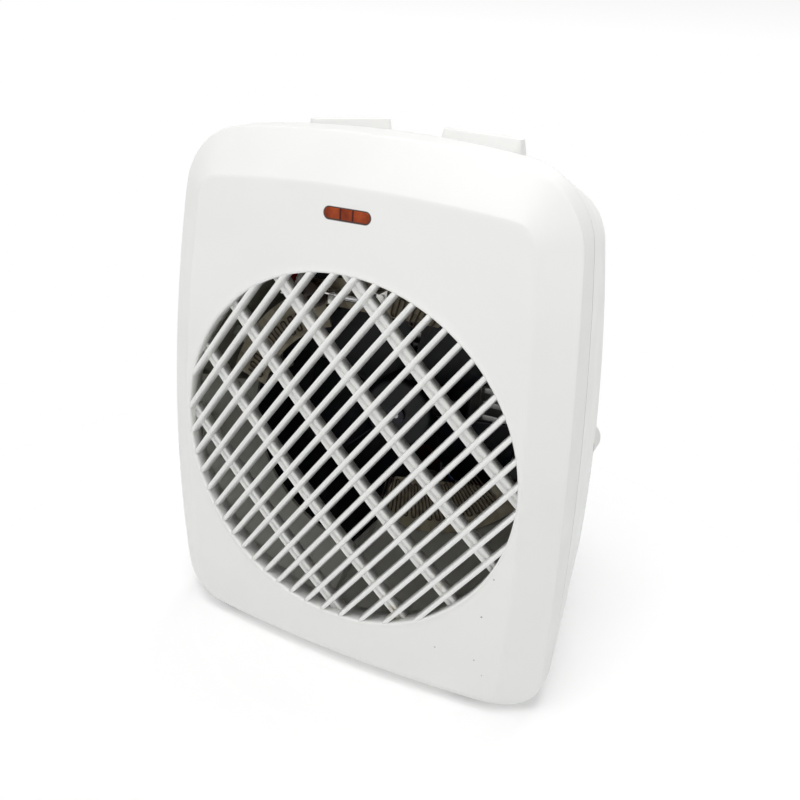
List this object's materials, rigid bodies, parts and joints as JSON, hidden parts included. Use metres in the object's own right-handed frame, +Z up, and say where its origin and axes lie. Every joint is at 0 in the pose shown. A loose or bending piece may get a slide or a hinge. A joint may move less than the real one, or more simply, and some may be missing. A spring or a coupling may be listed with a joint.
{
  "type": "fan convector heater",
  "caption": "Upright portable fan heater: moulded two-part casing, round diagonal grille, mica-carried element, motor-driven axial fan and rotary controls on top.",
  "frame": {"origin": "middle of the bounding box in plan, on the surface the feet stand on", "axes": "+Z up, +Y from the grille face towards the back, +X to the right of someone facing the grille"},
  "size_m": [0.197, 0.1231, 0.2421],
  "materials": {
    "casing_white": "satin moulded plastic",
    "duct_white": "satin heat-resistant plastic",
    "gland_white": "satin nylon",
    "housing_black": "fine moulded texture",
    "fan_black": "semi-gloss",
    "foot_rubber": "matt",
    "zinc_steel": "zinc plated",
    "bright_steel": "ground",
    "rotor_metal": "cast bars over dark laminations",
    "lamination_steel": "stacked sheet, dark oxide",
    "bobbin_nylon": "satin",
    "enamelled_copper": "enamelled wire under varnish",
    "bush_bronze": "sintered",
    "mica": "layered mica board",
    "nichrome": "heat-browned",
    "cutout_phenolic": "phenolic",
    "switch_phenolic": "moulded",
    "tinned_tab": "tin plated",
    "spindle_nylon": "satin",
    "amber_lens": "tinted translucent moulding",
    "lamp_glass": "clear glass",
    "lead_brown": "insulated lead",
    "lead_red": "insulated lead",
    "lead_white": "insulated lead",
    "lead_blue": "insulated lead"
  },
  "bodies": {
    "casing": {"front_cover": "casing_white", "rear_cover": "casing_white", "cord_gland": "gland_white", "feet": "foot_rubber", "air_duct": "duct_white", "fan_housing": "housing_black", "motor_stack": "lamination_steel", "coil_bobbin": "bobbin_nylon", "motor_coil": "enamelled_copper", "front_motor_bracket": "zinc_steel", "rear_motor_bracket": "zinc_steel", "motor_bushes": "bush_bronze", "motor_spacers": "zinc_steel", "motor_screws": "zinc_steel", "upper_mica": "mica", "lower_mica": "mica", "low_heat_wire": "nichrome", "high_heat_wire": "nichrome", "mica_clips": "zinc_steel", "thermal_cutout": "cutout_phenolic", "thermal_fuse": "bright_steel", "heater_terminals": "tinned_tab", "thermostat": "switch_phenolic", "thermostat_tabs": "tinned_tab", "selector_switch": "switch_phenolic", "selector_tabs": "tinned_tab", "control_screws": "zinc_steel", "indicator_lens": "amber_lens", "neon_lamp": "lamp_glass", "lamp_holder": "duct_white", "terminal_block": "gland_white", "block_screws": "zinc_steel", "case_screws": "zinc_steel", "duct_screws": "zinc_steel", "housing_screws": "zinc_steel", "brown_leads": "lead_brown", "red_leads": "lead_red", "white_leads": "lead_white", "blue_leads": "lead_blue"},
    "fan": {"impeller": "fan_black", "impeller_clip": "zinc_steel", "motor_shaft": "bright_steel", "rotor": "rotor_metal"},
    "thermostat_control": {"thermostat_knob": "casing_white", "thermostat_spindle": "spindle_nylon"},
    "selector_control": {"selector_knob": "casing_white", "selector_spindle": "spindle_nylon"}
  },
  "joints": [
    {"name": "fan_spin", "type": "hinge", "parent": "casing", "child": "fan", "pos_m": [0, 0, 0.1095], "axis": [0, 1, 0], "continuous": true},
    {"name": "thermostat_turn", "type": "hinge", "parent": "casing", "child": "thermostat_control", "pos_m": [-0.0306, -0.002, 0.236], "axis": [0, 0, 1], "range_deg": [-130, 130]},
    {"name": "selector_turn", "type": "hinge", "parent": "casing", "child": "selector_control", "pos_m": [0.0306, -0.002, 0.236], "axis": [0, 0, 1], "range_deg": [-135, 0]}
  ]
}
